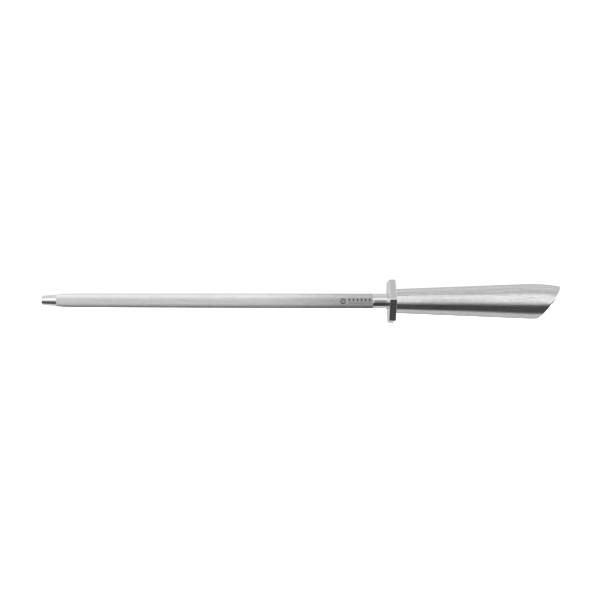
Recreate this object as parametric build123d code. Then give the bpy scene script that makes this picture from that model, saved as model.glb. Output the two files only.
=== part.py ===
from build123d import *
import math
import os

# Knife sharpening steel: a fine-cut rod, a hexagonal finger guard and a hollow steel handle with a slanted end.
#
# Frame: the rod's axis is X, with the tip at -X and the handle at +X. The origin is on that axis, in the plane
# of the guard's front face, which looks towards the tip. +Z is up, and the handle is longest along its top.
# All lengths are millimetres and all angles degrees.

# ---- Rod ------------------------------------------------------------------------------------------------
ROD_LENGTH = 250.0          # tip to guard
ROD_RADIUS = 5.4            # crests of the fine cut, on the parallel stretch
TAPER_START = 106.0         # distance from the guard at which the rod begins to narrow
TAPER_END = 226.0           # distance from the guard at which the narrowing turns into the rounded nose
TAPER_RADIUS = 5.06         # at the taper's narrow end
NOSE_END = 239.2            # distance from the guard at which the cut surface stops
NOSE_RADIUS = 4.45          # cut surface at its last crest
TIP_SHOULDER_RADIUS = 4.3   # polished tip cone, wide end
TIP_RADIUS = 3.55           # polished tip cone, flat end
TIP_EDGE = 0.3              # chamfer round the flat end
NECK_LENGTH = 10.5          # polished stretch between the cut surface and the guard
NECK_RADIUS = 5.5
RUN_OUT_WIDTH = 0.8         # groove in which the cut stops
RUN_OUT_DEPTH = 0.2

# ---- Guard ----------------------------------------------------------------------------------------------
GUARD_FLATS = 30.0          # across flats
GUARD_THICKNESS = 5.0
GUARD_BEVEL = 0.5           # round both faces
GUARD_CORNER = 1.3          # rounding of the six long edges, more than the bevel
GUARD_TURN = -5.0           # how far the guard is turned on the tang from corners level
SEAT_DEPTH = 1.0            # counterbore that takes the end of the neck
SEAT_CLEARANCE = 0.05       # radial

# ---- Tang and its fasteners (M6) ------------------------------------------------------------------------
TANG_RADIUS = 3.5
TANG_CLEARANCE = 0.05       # radial, in the guard and the plug
THREAD_RADIUS = 3.0
THREAD_CLEARANCE = 0.02     # radial, in the nut
WASHER_CLEARANCE = 0.2      # radial, in both washers
TANG_PROUD = 2.8            # thread showing past the nut
TANG_CHAMFER = 0.8
WASHER_RADIUS = 6.0
WASHER_THICKNESS = 1.6
SPRING_RADIUS = 5.9
SPRING_THICKNESS = 1.6
SPRING_GAP = 1.5            # split in the spring washer
NUT_FLATS = 10.0
NUT_HEIGHT = 5.0

# ---- Handle ---------------------------------------------------------------------------------------------
HANDLE_FRONT_RADIUS = 8.85
HANDLE_SLOPE = 0.04         # radius gained per millimetre towards the end
SWELL_START = 99.6          # where the straight taper turns into the rounded swell
SWELL_CURVE = 115.0         # radius of that curve, along the handle
HANDLE_REACH = 135.0        # where the uncut handle would stop
HANDLE_WALL = 1.5
FRONT_EDGE = 1.0            # rounding of the handle's front edge
CUT_ON_AXIS = 116.9         # where the slanted end crosses the axis
CUT_ANGLE = 35.3            # between the slanted end and a square one
CAP_THICKNESS = 1.5
CAP_EDGE = 0.7              # chamfer of the cap's rim
SPIGOT_DEPTH = 2.0          # part of the cap inside the handle
SPIGOT_CLEARANCE = 0.05

# ---- Front plug and seal --------------------------------------------------------------------------------
PLUG_LENGTH = 11.7
PLUG_SETBACK = 0.3          # plug's front face behind the handle's front edge
PLUG_CLEARANCE = 0.02
PLUG_CHAMFER = 0.6
SEAL_SECTION = 1.5          # O-ring, thickness
SEAL_CLEARANCE = 0.05

# ---- Places along the axis, worked out from the above ---------------------------------------------------
GUARD_BACK = GUARD_THICKNESS
PLUG_FRONT = GUARD_BACK + PLUG_SETBACK
PLUG_BACK = PLUG_FRONT + PLUG_LENGTH
SPRING_FRONT = PLUG_BACK + WASHER_THICKNESS
NUT_FRONT = SPRING_FRONT + SPRING_THICKNESS
NUT_BACK = NUT_FRONT + NUT_HEIGHT
TANG_END = NUT_BACK + TANG_PROUD
SEAL_RING_RADIUS = TANG_RADIUS + SEAL_CLEARANCE + SEAL_SECTION / 2

SLANTED_END = Plane(
    origin=(CUT_ON_AXIS, 0, 0),
    x_dir=(0, 1, 0),
    z_dir=(math.cos(math.radians(CUT_ANGLE)), 0, -math.sin(math.radians(CUT_ANGLE))),
)


def turned(outline):
    """A solid of revolution about X from a closed outline of edges in the (x, radius) half plane."""
    return revolve(make_face(outline), Axis.X)


def turned_points(*points):
    return turned(Polyline(*points, close=True))


def tube(inner, outer, start, end):
    """A plain ring about X."""
    return turned_points((start, inner), (end, inner), (end, outer), (start, outer))


def hexagon(across_flats, start, end, turn=0.0):
    """A hexagonal bar about X, with its corners level where turn is nothing."""
    section = RegularPolygon(across_flats / math.sqrt(3), 6, rotation=turn)
    return extrude(Plane.YZ.offset(start) * section, end - start)


def sharpening_rod():
    """Tip, cut surface, neck and tang, turned from one bar. The outline stands on the crests of the cut."""
    cut_stop = -NECK_LENGTH - RUN_OUT_WIDTH
    groove_radius = ROD_RADIUS - RUN_OUT_DEPTH
    taper_slope = (ROD_RADIUS - TAPER_RADIUS) / (TAPER_END - TAPER_START)
    nose = TangentArc(
        (-TAPER_END, TAPER_RADIUS), (-NOSE_END, NOSE_RADIUS), tangent=(-1, -taper_slope)
    )
    ahead = Polyline(
        (-NOSE_END, NOSE_RADIUS),
        (-NOSE_END, TIP_SHOULDER_RADIUS),
        (-ROD_LENGTH + TIP_EDGE, TIP_RADIUS),
        (-ROD_LENGTH, TIP_RADIUS - TIP_EDGE),
        (-ROD_LENGTH, 0),
        (TANG_END, 0),
        (TANG_END, THREAD_RADIUS - TANG_CHAMFER),
        (TANG_END - TANG_CHAMFER, THREAD_RADIUS),
        (PLUG_BACK - TANG_CHAMFER, THREAD_RADIUS),
        (PLUG_BACK - TANG_CHAMFER, TANG_RADIUS),
        (SEAT_DEPTH, TANG_RADIUS),
        (SEAT_DEPTH, NECK_RADIUS),
        (-NECK_LENGTH, NECK_RADIUS),
        (groove_radius - NECK_RADIUS - NECK_LENGTH, groove_radius),
        (cut_stop + RUN_OUT_DEPTH, groove_radius),
        (cut_stop, ROD_RADIUS),
        (-TAPER_START, ROD_RADIUS),
        (-TAPER_END, TAPER_RADIUS),
    )
    return turned(Curve() + [nose, ahead])


def hex_guard():
    """Finger guard. The neck seats in its counterbore, so its front face is a clear ring round the rod."""
    plate = hexagon(GUARD_FLATS, 0, GUARD_THICKNESS, GUARD_TURN)
    plate = fillet(plate.edges().filter_by(Axis.X), GUARD_CORNER)
    faces = plate.faces().filter_by(Axis.X)
    plate = chamfer(faces.edges(), GUARD_BEVEL)
    seat = tube(0, NECK_RADIUS + SEAT_CLEARANCE, 0, SEAT_DEPTH)
    bore = tube(0, TANG_RADIUS + TANG_CLEARANCE, 0, GUARD_THICKNESS)
    return plate - seat - bore


def tang_seal():
    """O-ring round the tang, squeezed between the guard and the plug."""
    centre = Plane(origin=(GUARD_BACK + SEAL_SECTION / 2, 0, 0), z_dir=(1, 0, 0))
    return centre * Torus(SEAL_RING_RADIUS, SEAL_SECTION / 2)


def handle_radius(x):
    """Outer radius of the handle's straight taper."""
    return HANDLE_FRONT_RADIUS + HANDLE_SLOPE * (x - GUARD_BACK)


def handle_body(inset=0.0):
    """The uncut handle, solid: a straight taper that runs into a rounded swell, all shrunk by inset."""
    lean = math.atan(HANDLE_SLOPE)
    curve_x = SWELL_START + SWELL_CURVE * math.sin(lean)
    curve_y = handle_radius(SWELL_START) - SWELL_CURVE * math.cos(lean)
    curve = SWELL_CURVE - inset

    def on_swell(angle):
        return curve_x + curve * math.sin(angle), curve_y + curve * math.cos(angle)

    last = math.asin((HANDLE_REACH - curve_x) / curve)
    front = handle_radius(GUARD_BACK) - inset / math.cos(lean)
    swell = ThreePointArc(on_swell(-lean), on_swell((last - lean) / 2), on_swell(last))
    rest = Polyline(
        on_swell(last),
        (HANDLE_REACH, 0),
        (GUARD_BACK, 0),
        (GUARD_BACK, front),
        on_swell(-lean),
    )
    return turned(Curve() + [swell, rest])


def handle_shell():
    """Tapered tube, open at the front for the plug and cut on the slant behind for the cap."""
    solid = handle_body()
    front = solid.faces().sort_by(Axis.X)[0]
    shell = fillet(front.edges(), FRONT_EDGE) - handle_body(HANDLE_WALL)
    return split(shell, SLANTED_END.offset(-CAP_THICKNESS), keep=Keep.BOTTOM)


def end_cap():
    """Slanted plate that closes the handle, with a spigot inside the tube and a rounded rim."""
    seat = SLANTED_END.offset(-CAP_THICKNESS)
    plate = split(split(handle_body(), SLANTED_END, keep=Keep.BOTTOM), seat, keep=Keep.TOP)
    outward = Axis(SLANTED_END.origin, SLANTED_END.z_dir)
    rim = plate.faces().sort_by(outward)[-1].edges()
    plate = chamfer(rim, CAP_EDGE)
    spigot = handle_body(HANDLE_WALL + SPIGOT_CLEARANCE)
    spigot = split(split(spigot, seat, keep=Keep.BOTTOM), seat.offset(-SPIGOT_DEPTH), keep=Keep.TOP)
    return plate + spigot


def front_plug():
    """Tapered plug: it goes in from the wide end, and the nut draws it forward until it wedges."""
    lean = math.atan(HANDLE_SLOPE)
    fit = (HANDLE_WALL + PLUG_CLEARANCE) / math.cos(lean)
    front = handle_radius(PLUG_FRONT) - fit
    back = handle_radius(PLUG_BACK) - fit
    bore = TANG_RADIUS + TANG_CLEARANCE
    pocket = SEAL_RING_RADIUS + SEAL_SECTION / 2 + SEAL_CLEARANCE
    pocket_floor = GUARD_BACK + SEAL_SECTION
    return turned_points(
        (pocket_floor, bore),
        (PLUG_BACK, bore),
        (PLUG_BACK, back - PLUG_CHAMFER),
        (PLUG_BACK - PLUG_CHAMFER, back - HANDLE_SLOPE * PLUG_CHAMFER),
        (PLUG_FRONT, front),
        (PLUG_FRONT, pocket),
        (pocket_floor, pocket),
    )


def tang_washer():
    return tube(THREAD_RADIUS + WASHER_CLEARANCE, WASHER_RADIUS, PLUG_BACK, SPRING_FRONT)


def spring_washer():
    """Split washer, pressed flat by the nut."""
    ring = tube(THREAD_RADIUS + WASHER_CLEARANCE, SPRING_RADIUS, SPRING_FRONT, NUT_FRONT)
    middle = ((SPRING_FRONT + NUT_FRONT) / 2, 0, SPRING_RADIUS)
    gap = Pos(*middle) * Box(2 * SPRING_THICKNESS, SPRING_GAP, 2 * SPRING_RADIUS - THREAD_RADIUS)
    return ring - gap


def tang_nut():
    """Hexagon nut with its corners turned off at both ends."""
    blank = hexagon(NUT_FLATS, NUT_FRONT, NUT_BACK)
    face = NUT_FLATS / 2
    corner = NUT_FLATS / math.sqrt(3)
    chamfer_length = (corner - face) * math.tan(math.radians(30))
    envelope = turned_points(
        (NUT_FRONT, 0),
        (NUT_BACK, 0),
        (NUT_BACK, face),
        (NUT_BACK - chamfer_length, corner),
        (NUT_FRONT + chamfer_length, corner),
        (NUT_FRONT, face),
    )
    bore = tube(0, THREAD_RADIUS + THREAD_CLEARANCE, NUT_FRONT, NUT_BACK)
    return (blank & envelope) - bore


PIECES = (
    sharpening_rod,
    hex_guard,
    tang_seal,
    handle_shell,
    front_plug,
    tang_washer,
    spring_washer,
    tang_nut,
    end_cap,
)

os.makedirs("parts", exist_ok=True)
for make in PIECES:
    export_step(make(), f"parts/{make.__name__}.step")
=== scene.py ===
import math

import bmesh
import bpy
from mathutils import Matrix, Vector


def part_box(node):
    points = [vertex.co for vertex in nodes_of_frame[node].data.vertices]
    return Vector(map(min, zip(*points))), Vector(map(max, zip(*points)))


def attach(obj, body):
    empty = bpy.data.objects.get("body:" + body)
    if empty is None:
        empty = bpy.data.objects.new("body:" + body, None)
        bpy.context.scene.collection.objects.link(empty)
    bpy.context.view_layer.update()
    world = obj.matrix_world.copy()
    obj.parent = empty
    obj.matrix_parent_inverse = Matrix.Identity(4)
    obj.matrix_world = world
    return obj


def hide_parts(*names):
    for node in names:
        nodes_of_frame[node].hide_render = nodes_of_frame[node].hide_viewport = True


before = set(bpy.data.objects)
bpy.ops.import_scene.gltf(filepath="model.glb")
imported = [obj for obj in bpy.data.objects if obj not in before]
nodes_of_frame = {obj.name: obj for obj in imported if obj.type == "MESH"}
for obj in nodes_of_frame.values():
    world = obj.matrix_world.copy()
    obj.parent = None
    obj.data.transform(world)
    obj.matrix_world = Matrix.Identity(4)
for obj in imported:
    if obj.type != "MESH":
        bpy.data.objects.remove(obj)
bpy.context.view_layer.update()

# Looks of a knife sharpening steel. X runs along the rod, tip at -X and handle at +X, and +Z is up.
# The origin is on the rod's axis, in the plane of the guard's front face. Shapes below are worked out
# in millimetres, as in the CAD model, and become metres where a mesh is made.
MM = 0.001


def corners_mm(node):
    """Lowest and highest corner of a CAD node, in millimetres."""
    low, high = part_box(node)
    return [c / MM for c in low], [c / MM for c in high]


rod_low, rod_high = corners_mm("sharpening_rod")
guard_low, guard_high = corners_mm("hex_guard")
shell_low, _ = corners_mm("handle_shell")

# ---- Camera ---------------------------------------------------------------------------------------------
CAMERA_DISTANCE = 642.0     # from the rod's axis
CAMERA_ALONG = -63.6        # its place along the rod
CAMERA_HEIGHT = 0.78
CAMERA_ROLL = math.radians(-0.11)
FRAME_WIDTH = 434.5         # what the picture spans at the axis
SENSOR_WIDTH = 36.0


def make_camera():
    data = bpy.data.cameras.new("camera")
    data.sensor_width = SENSOR_WIDTH
    data.lens = SENSOR_WIDTH * CAMERA_DISTANCE / FRAME_WIDTH
    data.clip_start = 0.01
    camera = bpy.data.objects.new("camera", data)
    camera.location = (CAMERA_ALONG * MM, -CAMERA_DISTANCE * MM, CAMERA_HEIGHT * MM)
    camera.rotation_euler = (math.pi / 2, CAMERA_ROLL, 0)
    bpy.context.scene.collection.objects.link(camera)
    bpy.context.scene.camera = camera


make_camera()


# ---- Node helpers ---------------------------------------------------------------------------------------
class Graph:
    """Short names for the shader nodes of one material or world."""

    def __init__(self, tree):
        self.tree = tree

    def node(self, kind, *inputs, **settings):
        made = self.tree.nodes.new("ShaderNode" + kind)
        for name, value in settings.items():
            setattr(made, name, value)
        for place, value in enumerate(inputs):
            self.put(made.inputs[place], value)
        return made

    def put(self, socket, value):
        if isinstance(value, bpy.types.NodeSocket):
            self.tree.links.new(value, socket)
        elif value is not None:
            socket.default_value = value

    def math(self, operation, *values, clamp=False):
        return self.node("Math", *values, operation=operation, use_clamp=clamp).outputs[0]

    def smooth(self, value, start, end, low=0.0, high=1.0):
        """Smooth step from low, where value is start, to high, where it is end."""
        kind = {"interpolation_type": "SMOOTHSTEP"}
        return self.node("MapRange", value, start, end, low, high, **kind).outputs[0]

    def split(self, vector):
        return self.node("SeparateXYZ", vector).outputs

    def join(self, x, y, z):
        return self.node("CombineXYZ", x, y, z).outputs[0]

    def noise(self, vector, scale, detail=2.0, roughness=0.5):
        made = self.node("TexNoise", vector, normalize=True)
        self.put(made.inputs["Scale"], scale)
        self.put(made.inputs["Detail"], detail)
        self.put(made.inputs["Roughness"], roughness)
        return made.outputs[0]

    def blend(self, factor, one, other):
        made = self.node("Mix", data_type="FLOAT")
        for name, value in (("Factor", factor), ("A", one), ("B", other)):
            self.put(next(s for s in made.inputs if s.name == name and s.type == "VALUE"), value)
        return made.outputs[0]

    def grey(self, value):
        return self.node("CombineColor", value, value, value).outputs[0]

    def tint(self, value, colour):
        """A colour scaled by a value."""
        channels = [self.math("MULTIPLY", value, c) for c in colour]
        return self.node("CombineColor", *channels).outputs[0]


def metal(name, paint, edge=0.8):
    """A metallic material. paint(graph, place) gives its brightness, roughness and surface height in metres.

    edge darkens it where it is seen nearly edge-on, as a worn surface is."""
    material = bpy.data.materials.new(name)
    material.use_nodes = True
    graph = Graph(material.node_tree)
    shader = material.node_tree.nodes["Principled BSDF"]
    shader.inputs["Metallic"].default_value = 1.0
    shader.inputs["Specular Tint"].default_value = (edge, edge, edge, 1.0)
    place = graph.node("TexCoord").outputs["Object"]
    brightness, roughness, height = paint(graph, place)
    graph.put(shader.inputs["Base Color"], graph.tint(brightness, STEEL_COLOUR))
    graph.put(shader.inputs["Roughness"], roughness)
    bump = graph.node("Bump")
    graph.put(bump.inputs["Distance"], 1.0)
    graph.put(bump.inputs["Height"], height)
    graph.put(shader.inputs["Normal"], bump.outputs[0])
    return material


STEEL_COLOUR = (1.0, 1.0, 1.0)
STEEL_BRIGHTNESS = 0.62
POLISHED_BRIGHTNESS = 0.72


def round_place(graph, place):
    """Distance along the axis, distance from it, and the direction away from it, all from a place."""
    x, y, z = graph.split(place)
    away = graph.join(0.0, y, z)
    radius = graph.node("VectorMath", away, operation="LENGTH").outputs["Value"]
    heading = graph.node("VectorMath", away, operation="NORMALIZE").outputs["Vector"]
    return x, radius, heading


def lengthwise(graph, place, along, around):
    """Coordinates that stretch a noise into streaks along the axis: repeats per metre, and per radius."""
    x, _, heading = round_place(graph, place)
    _, y, z = graph.split(heading)
    return graph.join(
        graph.math("MULTIPLY", x, along),
        graph.math("MULTIPLY", y, around),
        graph.math("MULTIPLY", z, around),
    )


# ---- Materials ------------------------------------------------------------------------------------------
def paint_handle(graph, place):
    """Satin steel, brushed lengthwise by hand."""
    broad = graph.noise(lengthwise(graph, place, 6.0, 5.0), 1.0, 2.0)
    strokes = graph.noise(lengthwise(graph, place, 45.0, 13.0), 1.0, 2.0, 0.6)
    grain = graph.noise(lengthwise(graph, place, 260.0, 22.0), 1.0, 2.0)
    fine = graph.noise(lengthwise(graph, place, 14.0, 60.0), 1.0, 3.0, 0.6)
    brightness = graph.math("ADD", STEEL_BRIGHTNESS - 0.35, graph.math("MULTIPLY", fine, 0.06))
    brightness = graph.math("ADD", brightness, graph.math("MULTIPLY", strokes, 0.34))
    brightness = graph.math("ADD", brightness, graph.math("MULTIPLY", grain, 0.3))
    roughness = graph.math("ADD", 0.12, graph.math("MULTIPLY", broad, 0.06))
    scratches = graph.math("MULTIPLY", fine, 0.000004)
    height = graph.math("ADD", scratches, graph.math("MULTIPLY", strokes, 0.00004))
    return brightness, roughness, height


def paint_end(graph, place):
    """Satin steel of the slanted end, brushed straight down it."""
    _, y, z = graph.split(place)
    across, down = graph.math("MULTIPLY", y, 1500.0), graph.math("MULTIPLY", z, 60.0)
    streaks = graph.noise(graph.join(across, down, 0.0), 1.0, 3.0, 0.6)
    brightness = graph.math("ADD", STEEL_BRIGHTNESS - 0.06, graph.math("MULTIPLY", streaks, 0.12))
    roughness = graph.math("ADD", 0.14, graph.math("MULTIPLY", streaks, 0.06))
    height = graph.math("MULTIPLY", streaks, 0.000003)
    return brightness, roughness, height


def paint_polished(graph, place):
    """Bright steel with faint turning marks, on the rod's tip and neck."""
    x, _, heading = round_place(graph, place)
    _, y, z = graph.split(heading)
    rings = graph.noise(graph.join(graph.math("MULTIPLY", x, 2500.0), y, z), 1.0, 2.0)
    brightness = graph.math("ADD", POLISHED_BRIGHTNESS - 0.02, graph.math("MULTIPLY", rings, 0.04))
    roughness = graph.math("ADD", 0.04, graph.math("MULTIPLY", rings, 0.04))
    height = graph.math("MULTIPLY", rings, 0.000002)
    return brightness, roughness, height


def paint_cut(graph, place):
    """Fine-cut steel with a plain etched mark, and painted shade that darkens it towards the guard."""
    x, _, _ = graph.split(place)
    stain = graph.noise(lengthwise(graph, place, 110.0, 2.5), 1.0, 3.0)
    grain = graph.noise(lengthwise(graph, place, 330.0, 5.0), 1.0, 2.0)
    # Painted shade: the cut's colour is darkened towards the guard, where the rod lies in shade.
    painted_shade = graph.smooth(x, *CUT_SHADE_SPAN, 1.0, CUT_SHADE_LEVEL)
    brightness = graph.math("ADD", CUT_BRIGHTNESS - 0.08, graph.math("MULTIPLY", grain, 0.06))
    brightness = graph.math("ADD", brightness, graph.math("MULTIPLY", stain, 0.10))
    brightness = graph.math("MULTIPLY", brightness, painted_shade)
    brightness = graph.math("MULTIPLY", brightness, graph.blend(etched_mark(graph, place), 1.0, MARK_DARK))
    roughness = graph.math("ADD", CUT_ROUGHNESS, graph.math("MULTIPLY", grain, 0.06))
    height = graph.math("MULTIPLY", grain, 0.000001)
    return brightness, roughness, height


CUT_BRIGHTNESS = 0.78
CUT_ROUGHNESS = 0.2
CUT_SHADE_SPAN = (-0.1, -0.005)    # where the painted shade on the cut starts and is darkest, in metres
# share of the cut's brightness left by the painted shade where it is darkest
CUT_SHADE_LEVEL = 0.62
MARK_DARK = 0.3
MARK_RING_AT = -32.7        # centre of the mark's ring, along the rod
MARK_RING_RADIUS = 1.65
MARK_LINE = 0.4             # half the thickness of the ring
MARK_DOT = 0.55
MARK_ROW = (-28.7, -13.0)   # where the row of dashes and the bar under it start and end
MARK_DASHES = 6
MARK_DASH_SHARE = 0.42      # of the pitch
MARK_UPPER = (1.0, 0.95)    # middle and half height of the dashes
MARK_LOWER = (-1.35, 0.2)


def etched_mark(graph, place):
    """1 inside a generic mark: a ring and dot, a row of dashes and a bar, on the side that faces -Y."""
    x, y, z = graph.split(place)
    blur = 0.04 * MM

    def inside(distance, half):
        return graph.smooth(distance, half * MM + blur, half * MM - blur)

    def away_from(value, middle):
        return graph.math("ABSOLUTE", graph.math("SUBTRACT", value, middle * MM))

    across = graph.math("POWER", away_from(x, MARK_RING_AT), 2.0)
    radius = graph.math("SQRT", graph.math("ADD", across, graph.math("POWER", z, 2.0)))
    ring = inside(away_from(radius, MARK_RING_RADIUS), MARK_LINE)
    ring = graph.math("MAXIMUM", ring, inside(radius, MARK_DOT))

    start, end = MARK_ROW
    along = inside(away_from(x, (start + end) / 2), (end - start) / 2)
    pitch = (end - start) / (MARK_DASHES - 1 + MARK_DASH_SHARE)
    step = graph.math("DIVIDE", graph.math("SUBTRACT", x, start * MM), pitch * MM)
    dash = graph.math("LESS_THAN", graph.math("FRACT", step), MARK_DASH_SHARE)
    upper = graph.math("MULTIPLY", dash, inside(away_from(z, MARK_UPPER[0]), MARK_UPPER[1]))
    lower = inside(away_from(z, MARK_LOWER[0]), MARK_LOWER[1])
    rows = graph.math("MULTIPLY", along, graph.math("MAXIMUM", upper, lower))
    front = graph.math("LESS_THAN", y, 0.0)
    return graph.math("MULTIPLY", front, graph.math("MAXIMUM", ring, rows))


def paint_guard(graph, place):
    """Brushed round its edge, and faced on a lathe on both sides."""
    x, radius, heading = round_place(graph, place)
    _, y, z = graph.split(heading)
    edge = graph.noise(graph.join(graph.math("MULTIPLY", x, 2200.0), y, z), 1.0, 3.0, 0.6)
    face = graph.noise(graph.join(graph.math("MULTIPLY", radius, 2200.0), y, z), 1.0, 3.0, 0.6)
    normal = graph.node("NewGeometry").outputs["Normal"]
    facing = graph.math("ABSOLUTE", graph.split(normal)[0])
    marks = graph.blend(graph.smooth(facing, 0.6, 0.9), edge, face)
    brightness = graph.math("ADD", STEEL_BRIGHTNESS - 0.05, graph.math("MULTIPLY", marks, 0.1))
    roughness = graph.math("ADD", 0.14, graph.math("MULTIPLY", marks, 0.06))
    height = graph.math("MULTIPLY", marks, 0.000003)
    return brightness, roughness, height


def paint_turned(graph, place):
    """Machined steel of the plug, washers and nut inside the handle."""
    x, radius, heading = round_place(graph, place)
    _, y, z = graph.split(heading)
    across = graph.math("MULTIPLY", graph.math("ADD", x, radius), 3000.0)
    marks = graph.noise(graph.join(across, y, z), 1.0, 2.0)
    brightness = graph.math("ADD", 0.5, graph.math("MULTIPLY", marks, 0.08))
    roughness = graph.math("ADD", 0.25, graph.math("MULTIPLY", marks, 0.1))
    height = graph.math("MULTIPLY", marks, 0.000003)
    return brightness, roughness, height


handle_steel = metal("handle_satin_steel", paint_handle)
end_steel = metal("end_satin_steel", paint_end)
polished_steel = metal("polished_steel", paint_polished)
cut_steel = metal("fine_cut_steel", paint_cut)
guard_steel = metal("guard_brushed_steel", paint_guard, edge=1.0)
turned_steel = metal("turned_steel", paint_turned)


def make_rubber():
    material = bpy.data.materials.new("seal_rubber")
    material.use_nodes = True
    graph = Graph(material.node_tree)
    shader = material.node_tree.nodes["Principled BSDF"]
    place = graph.node("TexCoord").outputs["Object"]
    bloom = graph.noise(place, 900.0, 3.0)
    level = graph.math("ADD", 0.02, graph.math("MULTIPLY", bloom, 0.02))
    graph.put(shader.inputs["Base Color"], graph.grey(level))
    graph.put(shader.inputs["Roughness"], graph.math("ADD", 0.6, graph.math("MULTIPLY", bloom, 0.2)))
    return material


seal_rubber = make_rubber()


# ---- Mesh helpers ---------------------------------------------------------------------------------------
def make_piece(name, bm, materials, node):
    """A piece from a bmesh in millimetres, with the given materials. It replaces a CAD node, which it hides.
    """
    bmesh.ops.scale(bm, vec=(MM, MM, MM), verts=bm.verts)
    bmesh.ops.recalc_face_normals(bm, faces=bm.faces)
    mesh = bpy.data.meshes.new(name)
    bm.to_mesh(mesh)
    bm.free()
    for material in materials:
        mesh.materials.append(material)
    piece = bpy.data.objects.new(name, mesh)
    bpy.context.scene.collection.objects.link(piece)
    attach(piece, "root")
    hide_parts(node)
    return piece


def add_ring(bm, points):
    return [bm.verts.new(p) for p in points]


def add_band(bm, one, other, finish=0):
    """Quads between two rings of the same count."""
    count = len(one)
    for i in range(count):
        j = (i + 1) % count
        face = bm.faces.new((one[i], one[j], other[j], other[i]))
        face.smooth = True
        face.material_index = finish


def add_fan(bm, ring, centre, finish=0):
    """Flat triangles between a ring and a point."""
    tip = bm.verts.new(centre)
    for i in range(len(ring)):
        face = bm.faces.new((ring[i], ring[(i + 1) % len(ring)], tip))
        face.smooth = True
        face.material_index = finish


def crease(ring):
    """Makes a ring's edges sharp."""
    for i in range(len(ring)):
        edge = next(e for e in ring[i].link_edges if ring[(i + 1) % len(ring)] in e.verts)
        edge.smooth = False


def circle(x, radius, count):
    """Points round the axis. radius is a number or a function of the angle."""
    points = []
    for i in range(count):
        angle = 2 * math.pi * i / count
        r = radius(angle) if callable(radius) else radius
        points.append((x, r * math.cos(angle), r * math.sin(angle)))
    return points


def spread(start, end, count):
    """Evenly spaced values from start to end, both included."""
    return [start + (end - start) * i / (count - 1) for i in range(count)]


# ---- Rod ------------------------------------------------------------------------------------------------
NECK_RADIUS = rod_high[1]
ROD_RADIUS = 5.4            # over the crests of the cut
TIP_X = rod_low[0]
TANG_END_X = rod_high[0]
TIP_RADIUS = 3.55
TIP_EDGE = 0.3
TIP_SHOULDER_RADIUS = 4.3
NOSE_X = -239.2
NOSE_RADIUS = 4.45
TAPER_X = -226.0
TAPER_RADIUS = 5.06
PARALLEL_X = -106.0
CUT_STOP_X = -11.3
NECK_X = -10.5
RUN_OUT_DEPTH = 0.2
SEAT_DEPTH = 1.0
TANG_RADIUS = 3.5
THREAD_X = 16.2
THREAD_RADIUS = 3.0
THREAD_DEPTH = 0.6
THREAD_PITCH = 1.0
RIBS = 96
POINTS_PER_RIB = 4
RIB_DEPTH = 0.17
TANG_POINTS = 48            # divides the points round the rod


def cut_radius(x):
    """Radius over the crests of the cut."""
    slope = (ROD_RADIUS - TAPER_RADIUS) / (PARALLEL_X - TAPER_X)
    if x >= PARALLEL_X:
        return ROD_RADIUS
    if x >= TAPER_X:
        return TAPER_RADIUS + slope * (x - TAPER_X)
    bend = (TAPER_RADIUS + slope * (NOSE_X - TAPER_X) - NOSE_RADIUS) / (NOSE_X - TAPER_X) ** 2
    return TAPER_RADIUS + slope * (x - TAPER_X) - bend * (x - TAPER_X) ** 2


def ribbed(crest, depth):
    """Radius as a function of angle, for a crest radius and a depth of cut."""
    def radius(angle):
        phase = angle * RIBS / (2 * math.pi)
        return crest - depth * (0.5 - 0.5 * math.cos(2 * math.pi * phase))
    return radius


def threaded(x):
    """Radius of the tang's thread as a function of angle."""
    def radius(angle):
        turn = (x / THREAD_PITCH - angle / (2 * math.pi)) % 1.0
        return THREAD_RADIUS - THREAD_DEPTH * (1 - abs(2 * turn - 1))
    return radius


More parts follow.
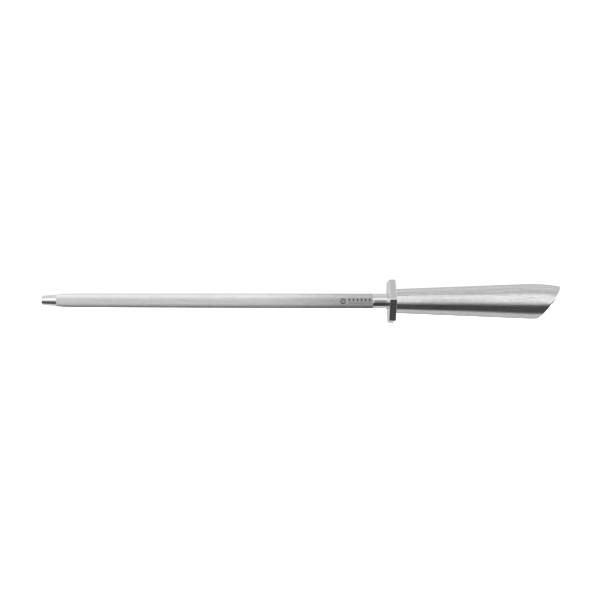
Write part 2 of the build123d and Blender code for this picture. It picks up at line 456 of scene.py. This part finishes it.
def make_rod():
    count = RIBS * POINTS_PER_RIB
    polished, cut = 0, 1
    bm = bmesh.new()

    def run(stations, finish, first=None):
        """Bands through (x, radius) stations, from a ring already there."""
        last = first
        for x, radius in stations:
            ring = add_ring(bm, circle(x, radius, count))
            if last:
                add_band(bm, last, ring, finish)
            last = ring
            yield ring

    tip_stations = [(TIP_X, TIP_RADIUS - TIP_EDGE), (TIP_X + TIP_EDGE, TIP_RADIUS)]
    tip = list(run(tip_stations, polished))
    add_fan(bm, tip[0], (TIP_X, 0, 0), polished)
    crease(tip[0])
    crease(tip[1])
    cone_x = spread(TIP_X + TIP_EDGE, NOSE_X, 8)
    cone_r = spread(TIP_RADIUS, TIP_SHOULDER_RADIUS, 8)
    cone = list(run(list(zip(cone_x, cone_r))[1:], polished, tip[1]))
    crease(cone[-1])

    body_x = spread(NOSE_X, TAPER_X, 10) + spread(TAPER_X, PARALLEL_X, 18)[1:]
    body_x += spread(PARALLEL_X, CUT_STOP_X, 14)[1:]
    body = list(run([(x, ribbed(cut_radius(x), RIB_DEPTH)) for x in body_x], cut, cone[-1]))
    crease(body[0])
    crease(body[-1])

    floor = ROD_RADIUS - RUN_OUT_DEPTH
    groove_stations = [
        (CUT_STOP_X + RUN_OUT_DEPTH, floor),
        (NECK_X - (NECK_RADIUS - floor), floor),
        (NECK_X, NECK_RADIUS),
    ]
    groove = list(run(groove_stations, polished, body[-1]))
    for ring in groove:
        crease(ring)
    neck = list(run([(x, NECK_RADIUS) for x in spread(NECK_X, SEAT_DEPTH, 6)[1:]], polished, groove[-1]))
    crease(neck[-1])

    step = count // TANG_POINTS
    tang = [add_ring(bm, circle(x, TANG_RADIUS, TANG_POINTS)) for x in spread(SEAT_DEPTH, THREAD_X, 4)]
    for k in range(TANG_POINTS):
        outer = [neck[-1][(k * step + i) % count] for i in range(step + 1)]
        after = (k + 1) % TANG_POINTS
        face = bm.faces.new(outer + [tang[0][after], tang[0][k]])
        face.material_index = polished
    thread_x = spread(THREAD_X, TANG_END_X - THREAD_DEPTH, 90)
    tang += [add_ring(bm, circle(x, threaded(x), TANG_POINTS)) for x in thread_x]
    tang.append(add_ring(bm, circle(TANG_END_X, THREAD_RADIUS - THREAD_DEPTH, TANG_POINTS)))
    for one, other in zip(tang, tang[1:]):
        add_band(bm, one, other, polished)
    add_fan(bm, tang[-1], (TANG_END_X, 0, 0), polished)
    for ring in (tang[0], tang[3], tang[4], tang[-2], tang[-1]):
        crease(ring)
    return make_piece("rod", bm, [polished_steel, cut_steel], "sharpening_rod")


# ---- Guard ----------------------------------------------------------------------------------------------
GUARD_FRONT_X = guard_low[0]
GUARD_BACK_X = guard_high[0]
GUARD_FLATS = 30.0
GUARD_CORNER = 1.3
GUARD_BEVEL = 0.5
GUARD_SOFT = 0.06           # tiny rounding where a bevel meets a face
GUARD_TURN = math.radians(-5)
SEAT_RADIUS = 5.55
BORE_RADIUS = 3.55
CORNER_STEPS = 15


def guard_outline(x, inset):
    """The rounded hexagon, moved in by inset, at a place along the axis."""
    centre = (GUARD_FLATS / 2 - GUARD_CORNER) / math.cos(math.pi / 6)
    points = []
    for corner in range(6):
        middle = corner * math.pi / 3 + GUARD_TURN
        cy, cz = centre * math.cos(middle), centre * math.sin(middle)
        for angle in spread(middle - math.pi / 6, middle + math.pi / 6, CORNER_STEPS + 1):
            reach = GUARD_CORNER - inset
            points.append((x, cy + reach * math.cos(angle), cz + reach * math.sin(angle)))
    return points


def make_guard():
    bm = bmesh.new()
    soft = GUARD_SOFT
    half_edge = [
        (0.0, GUARD_BEVEL + soft),
        (soft / 4, GUARD_BEVEL),
        (soft, GUARD_BEVEL - soft),
        (GUARD_BEVEL - soft, soft),
        (GUARD_BEVEL, soft / 4),
        (GUARD_BEVEL + soft, 0.0),
    ]
    front = [add_ring(bm, guard_outline(GUARD_FRONT_X + x, inset)) for x, inset in half_edge]
    back = [add_ring(bm, guard_outline(GUARD_BACK_X - x, inset)) for x, inset in half_edge]
    rings = front + back[::-1]
    for one, other in zip(rings, rings[1:]):
        add_band(bm, one, other)
    count = len(rings[0])

    def round_ring(x, radius):
        points = []
        for i in range(count):
            angle = 2 * math.pi * (i + 0.5) / count - math.pi / 6 + GUARD_TURN
            points.append((x, radius * math.cos(angle), radius * math.sin(angle)))
        return add_ring(bm, points)

    hole = [
        round_ring(GUARD_FRONT_X, SEAT_RADIUS),
        round_ring(GUARD_FRONT_X + SEAT_DEPTH, SEAT_RADIUS),
        round_ring(GUARD_FRONT_X + SEAT_DEPTH, BORE_RADIUS),
        round_ring(GUARD_BACK_X, BORE_RADIUS),
    ]
    for one, other in zip(hole, hole[1:]):
        add_band(bm, one, other)
    add_band(bm, rings[0], hole[0])
    add_band(bm, rings[-1], hole[-1])
    for ring in hole + [front[0], front[-1], back[0], back[-1]]:
        crease(ring)
    return make_piece("guard", bm, [guard_steel], "hex_guard")


# ---- Handle ---------------------------------------------------------------------------------------------
HANDLE_FRONT_X = shell_low[0]
HANDLE_FRONT_RADIUS = 8.85
HANDLE_SLOPE = 0.04
SWELL_X = 99.6
SWELL_CURVE = 115.0
WALL = 1.5
FRONT_EDGE = 1.0
CUT_ON_AXIS = 116.9
CUT_ANGLE = math.radians(35.3)
CAP_THICKNESS = 1.5
CAP_EDGE = 0.7
CAP_SOFT = 0.1              # share of the chamfer that is rounded at each side
SPIGOT_DEPTH = 2.0
SPIGOT_CLEARANCE = 0.05
HANDLE_POINTS = 160
SLANT_STEPS = 30


def handle_radius(x, inset=0.0):
    """Radius of the handle's outside, or of the same surface moved in."""
    lean = math.atan(HANDLE_SLOPE)
    at_swell = HANDLE_FRONT_RADIUS + HANDLE_SLOPE * (SWELL_X - HANDLE_FRONT_X)
    centre_x = SWELL_X + SWELL_CURVE * math.sin(lean)
    centre_r = at_swell - SWELL_CURVE * math.cos(lean)
    curve = SWELL_CURVE - inset
    if x <= centre_x - curve * math.sin(lean):
        return HANDLE_FRONT_RADIUS + HANDLE_SLOPE * (x - HANDLE_FRONT_X) - inset / math.cos(lean)
    return centre_r + math.sqrt(curve ** 2 - (x - centre_x) ** 2)


def slant_x(angle, behind, inset=0.0):
    """Where the handle's surface meets the slanted end, at an angle round the axis.

    behind moves the end forward. The place is found by stepping between the two surfaces."""
    x = CUT_ON_AXIS
    for _ in range(SLANT_STEPS):
        z = handle_radius(x, inset) * math.sin(angle)
        x = CUT_ON_AXIS + (z * math.sin(CUT_ANGLE) - behind) / math.cos(CUT_ANGLE)
    return x


def handle_ring(bm, share, behind, inset=0.0, start=HANDLE_FRONT_X):
    """A ring a share of the way from start to the slanted end."""
    points = []
    for i in range(HANDLE_POINTS):
        angle = 2 * math.pi * i / HANDLE_POINTS
        x = start + share * (slant_x(angle, behind, inset) - start)
        r = handle_radius(x, inset)
        points.append((x, r * math.cos(angle), r * math.sin(angle)))
    return add_ring(bm, points)


def make_handle():
    bm = bmesh.new()
    start = HANDLE_FRONT_X + FRONT_EDGE
    edge = []
    for turn in spread(0, math.pi / 2, 7)[:-1]:
        x = start - FRONT_EDGE * math.cos(turn)
        r = handle_radius(start) - FRONT_EDGE * (1 - math.sin(turn))
        edge.append(add_ring(bm, circle(x, r, HANDLE_POINTS)))
    outside = [handle_ring(bm, share, CAP_THICKNESS, 0.0, start) for share in spread(0, 1, 56)]
    inside = [handle_ring(bm, share, CAP_THICKNESS, WALL) for share in spread(0, 1, 24)]
    rings = edge + outside + inside[::-1]
    for one, other in zip(rings, rings[1:]):
        add_band(bm, one, other)
    add_band(bm, inside[0], edge[0])
    for ring in (inside[0], inside[-1], outside[-1], edge[0]):
        crease(ring)
    return make_piece("handle", bm, [handle_steel], "handle_shell")


def make_cap():
    bm = bmesh.new()
    slope, rise = math.sin(CUT_ANGLE), math.cos(CUT_ANGLE)

    def on_slant(angle, radius, behind=0.0):
        x = CUT_ON_AXIS + (radius * math.sin(angle) * slope - behind) / rise
        return x, radius * math.cos(angle), radius * math.sin(angle)

    def rim_point(angle, share, lift):
        """From the handle's outside, share 0, across the chamfer on to the slanted face, share 1.

        lift moves it out of the chamfer's plane, towards the sharp edge that was cut off."""
        corner_x = slant_x(angle, 0.0)
        oblique = math.sqrt(1 + (math.tan(CUT_ANGLE) * math.cos(angle)) ** 2)
        side_x = corner_x - CAP_EDGE * oblique
        side_r = handle_radius(side_x)
        corner_r = handle_radius(corner_x)
        tilt = math.sqrt(1 + (math.tan(CUT_ANGLE) * math.sin(angle)) ** 2)
        face_r = corner_r - CAP_EDGE / tilt
        face_x = on_slant(angle, face_r)[0]
        x = (1 - lift) * (side_x + share * (face_x - side_x)) + lift * corner_x
        r = (1 - lift) * (side_r + share * (face_r - side_r)) + lift * corner_r
        return x, r * math.cos(angle), r * math.sin(angle)

    angles = [2 * math.pi * i / HANDLE_POINTS for i in range(HANDLE_POINTS)]
    seat = handle_ring(bm, 1.0, CAP_THICKNESS)
    soft = CAP_SOFT
    half = [(0.0, -2 * soft), (0.0, -soft), (soft / 4, -soft / 4), (soft, 0.0), (2 * soft, 0.0)]
    profile = half + [(1 - share, lift) for share, lift in reversed(half)]
    rim = [add_ring(bm, [rim_point(a, share, lift) for a in angles]) for share, lift in profile]
    inner = [(math.hypot(v.co.y, v.co.z), v) for v in rim[-1]]
    face = []
    for scale in (0.75, 0.45, 0.2):
        face.append(add_ring(bm, [on_slant(a, scale * r) for a, (r, _) in zip(angles, inner)]))
    side, end = 0, 1
    edge = [seat] + rim
    for one, other in zip(edge, edge[1:]):
        add_band(bm, one, other, side)
    flat = [rim[-1]] + face
    for one, other in zip(flat, flat[1:]):
        add_band(bm, one, other, end)
    add_fan(bm, face[-1], on_slant(0.0, 0.0), end)

    inset = WALL + SPIGOT_CLEARANCE
    step = handle_ring(bm, 1.0, CAP_THICKNESS, inset)
    spigot = handle_ring(bm, 1.0, CAP_THICKNESS + SPIGOT_DEPTH, inset)
    add_band(bm, seat, step)
    add_band(bm, step, spigot)
    add_fan(bm, spigot, on_slant(0.0, 0.0, CAP_THICKNESS + SPIGOT_DEPTH))
    for ring in (seat, step, spigot):
        crease(ring)
    return make_piece("cap", bm, [handle_steel, end_steel], "end_cap")


make_rod()
make_guard()
make_handle()
make_cap()

# ---- Pieces that stay as the CAD model has them ---------------------------------------------------------
KEPT = {
    "front_plug": turned_steel,
    "tang_washer": turned_steel,
    "spring_washer": turned_steel,
    "tang_nut": turned_steel,
    "tang_seal": seal_rubber,
}
for node, material in KEPT.items():
    for place in nodes_of_frame[node].material_slots:
        place.material = material

# ---- Floor ----------------------------------------------------------------------------------------------
FLOOR_HALF = 3.0            # metres


def make_floor():
    height = guard_low[2] * MM
    bm = bmesh.new()
    corners = ((-1, -1), (1, -1), (1, 1), (-1, 1))
    bm.faces.new([bm.verts.new((x * FLOOR_HALF, y * FLOOR_HALF, height)) for x, y in corners])
    mesh = bpy.data.meshes.new("floor")
    bm.to_mesh(mesh)
    bm.free()
    material = bpy.data.materials.new("pale_floor")
    material.use_nodes = True
    shader = material.node_tree.nodes["Principled BSDF"]
    shader.inputs["Base Color"].default_value = (0.85, 0.85, 0.85, 1)
    shader.inputs["Roughness"].default_value = 0.9
    shader.inputs["Specular IOR Level"].default_value = 0.0
    mesh.materials.append(material)
    floor = bpy.data.objects.new("floor", mesh)
    floor.visible_glossy = False
    bpy.context.scene.collection.objects.link(floor)


make_floor()

# ---- Light ----------------------------------------------------------------------------------------------
# A white tent with a dark panel in front and below, seen only in the steel. Each pair is an angle about the
# rod, in degrees above the camera's side, and a brightness.
TENT = (
    (-180, 0.7),    # behind
    (-100, 0.8),    # the pale floor ends here
    (-80, 0.1),     # dark panel, from here
    (-30, 0.1),     # to here
    (0, 1.2),       # bright front of the tent, from here
    (40, 1.2),      # to here
    (60, 0.7),      # dimmer panel overhead
    (120, 0.9),     # top and back
    (180, 0.7),
)
# Places along the tent below are the share of a direction that lies along +X or -X.
TENT_END = (0.38, 0.50)     # along +X, where the tent's end begins
TENT_TIP = (0.50, 0.65)     # along -X, the same
END_LEVELS = (              # height of a direction, and how bright the ends are there
    (-1.0, 0.1), (-0.35, 0.1), (-0.2, 1.4), (0.3, 1.4), (0.7, 0.7), (1.0, 0.7),
)
BOOST_REGION = (0.28, 0.36) # along -X, from where the tent is brighter
TIP_BOOST = 0.10            # by this share
TIP_REGION = (0.36, 0.40)   # along -X, from where the dark panel's upper edge reaches higher
TIP_LEAN = 10.0             # by this many degrees
TIP_LEAN_FADE = (-75, -40)  # angles between which that lean sets in
GUARD_REGION = (0.20, 0.12) # along X, from where the dark panel's lower edge is higher
FLOOR_LEAN = 9.0            # by this many degrees
FLOOR_LEAN_FADE = (-50, -80)
GAP_START = (0.068, 0.082)  # along +X, a narrow dark gap in the tent, whose image falls on the neck
GAP_STOP = (0.108, 0.099)
GAP_LOSS = 0.8              # how much light the gap takes away at most
GAP_TOP = (28, 8)           # angles between which the gap sets in
GAP_BOTTOM = (-85, -65)
GAP_PANEL = (-30, -5, 0.55, 1.0)    # it takes away less in front of the dark panel
FILL = 3.5                  # brightness of the tent as it lights the floor
BACKGROUND = 1.05


def level_ramp(graph, place, levels, low, high):
    """Brightness by a place between low and high, through (place, brightness) pairs."""
    ramp = graph.node("ValToRGB", graph.node("MapRange", place, low, high).outputs[0])
    stops = ramp.color_ramp.elements
    stops.remove(stops[-1])
    brightest = max(level for _, level in levels)
    for number, (at, level) in enumerate(levels):
        position = (at - low) / (high - low)
        stop = stops[0] if number == 0 else stops.new(position)
        stop.position = position
        stop.color = (level / brightest,) * 3 + (1,)
    return graph.math("MULTIPLY", ramp.outputs[0], brightest)


def lean_of_panel(graph, x, back, around):
    """How far the dark panel's edges are turned up, in degrees."""
    tip = graph.math(
        "MULTIPLY",
        graph.smooth(back, *TIP_REGION, 0.0, TIP_LEAN),
        graph.smooth(around, *TIP_LEAN_FADE),
    )
    floor = graph.math(
        "MULTIPLY",
        graph.smooth(x, *GUARD_REGION, 0.0, FLOOR_LEAN),
        graph.smooth(around, *FLOOR_LEAN_FADE),
    )
    return graph.math("ADD", tip, floor)


def share_past_gap(graph, x, around):
    """The share of the light that the dark gap leaves."""
    along = graph.math("MULTIPLY", graph.smooth(x, *GAP_START), graph.smooth(x, *GAP_STOP))
    across = graph.math("MULTIPLY", graph.smooth(around, *GAP_TOP), graph.smooth(around, *GAP_PANEL))
    across = graph.math("MULTIPLY", across, graph.smooth(around, *GAP_BOTTOM))
    loss = graph.math("MULTIPLY", graph.math("MULTIPLY", along, across), GAP_LOSS)
    return graph.math("SUBTRACT", 1.0, loss)


def make_light():
    world = bpy.data.worlds.new("tent")
    world.use_nodes = True
    bpy.context.scene.world = world
    tree = world.node_tree
    tree.nodes.clear()
    graph = Graph(tree)
    x, y, z = graph.split(graph.node("TexCoord").outputs["Generated"])
    back = graph.math("MULTIPLY", x, -1.0)
    around = graph.math("DEGREES", graph.math("ARCTAN2", z, graph.math("MULTIPLY", y, -1.0)))
    turned = graph.math("SUBTRACT", around, lean_of_panel(graph, x, back, around))
    panel = level_ramp(graph, turned, TENT, -180, 180)
    boost = graph.smooth(back, *BOOST_REGION, 1.0, 1.0 + TIP_BOOST)
    panel = graph.math("MULTIPLY", panel, graph.math("MULTIPLY", boost, share_past_gap(graph, x, around)))
    ends = graph.math("MAXIMUM", graph.smooth(x, *TENT_END), graph.smooth(back, *TENT_TIP))
    shine = graph.blend(ends, panel, level_ramp(graph, z, END_LEVELS, -1, 1))

    path = graph.node("LightPath").outputs
    level = graph.blend(path["Is Glossy Ray"], FILL, shine)
    level = graph.blend(path["Is Camera Ray"], level, BACKGROUND)
    background = graph.node("Background")
    graph.put(background.inputs["Color"], (1, 1, 1, 1))
    graph.put(background.inputs["Strength"], level)
    tree.links.new(background.outputs[0], graph.node("OutputWorld").inputs["Surface"])


make_light()
bpy.context.scene.view_settings.view_transform = "Standard"
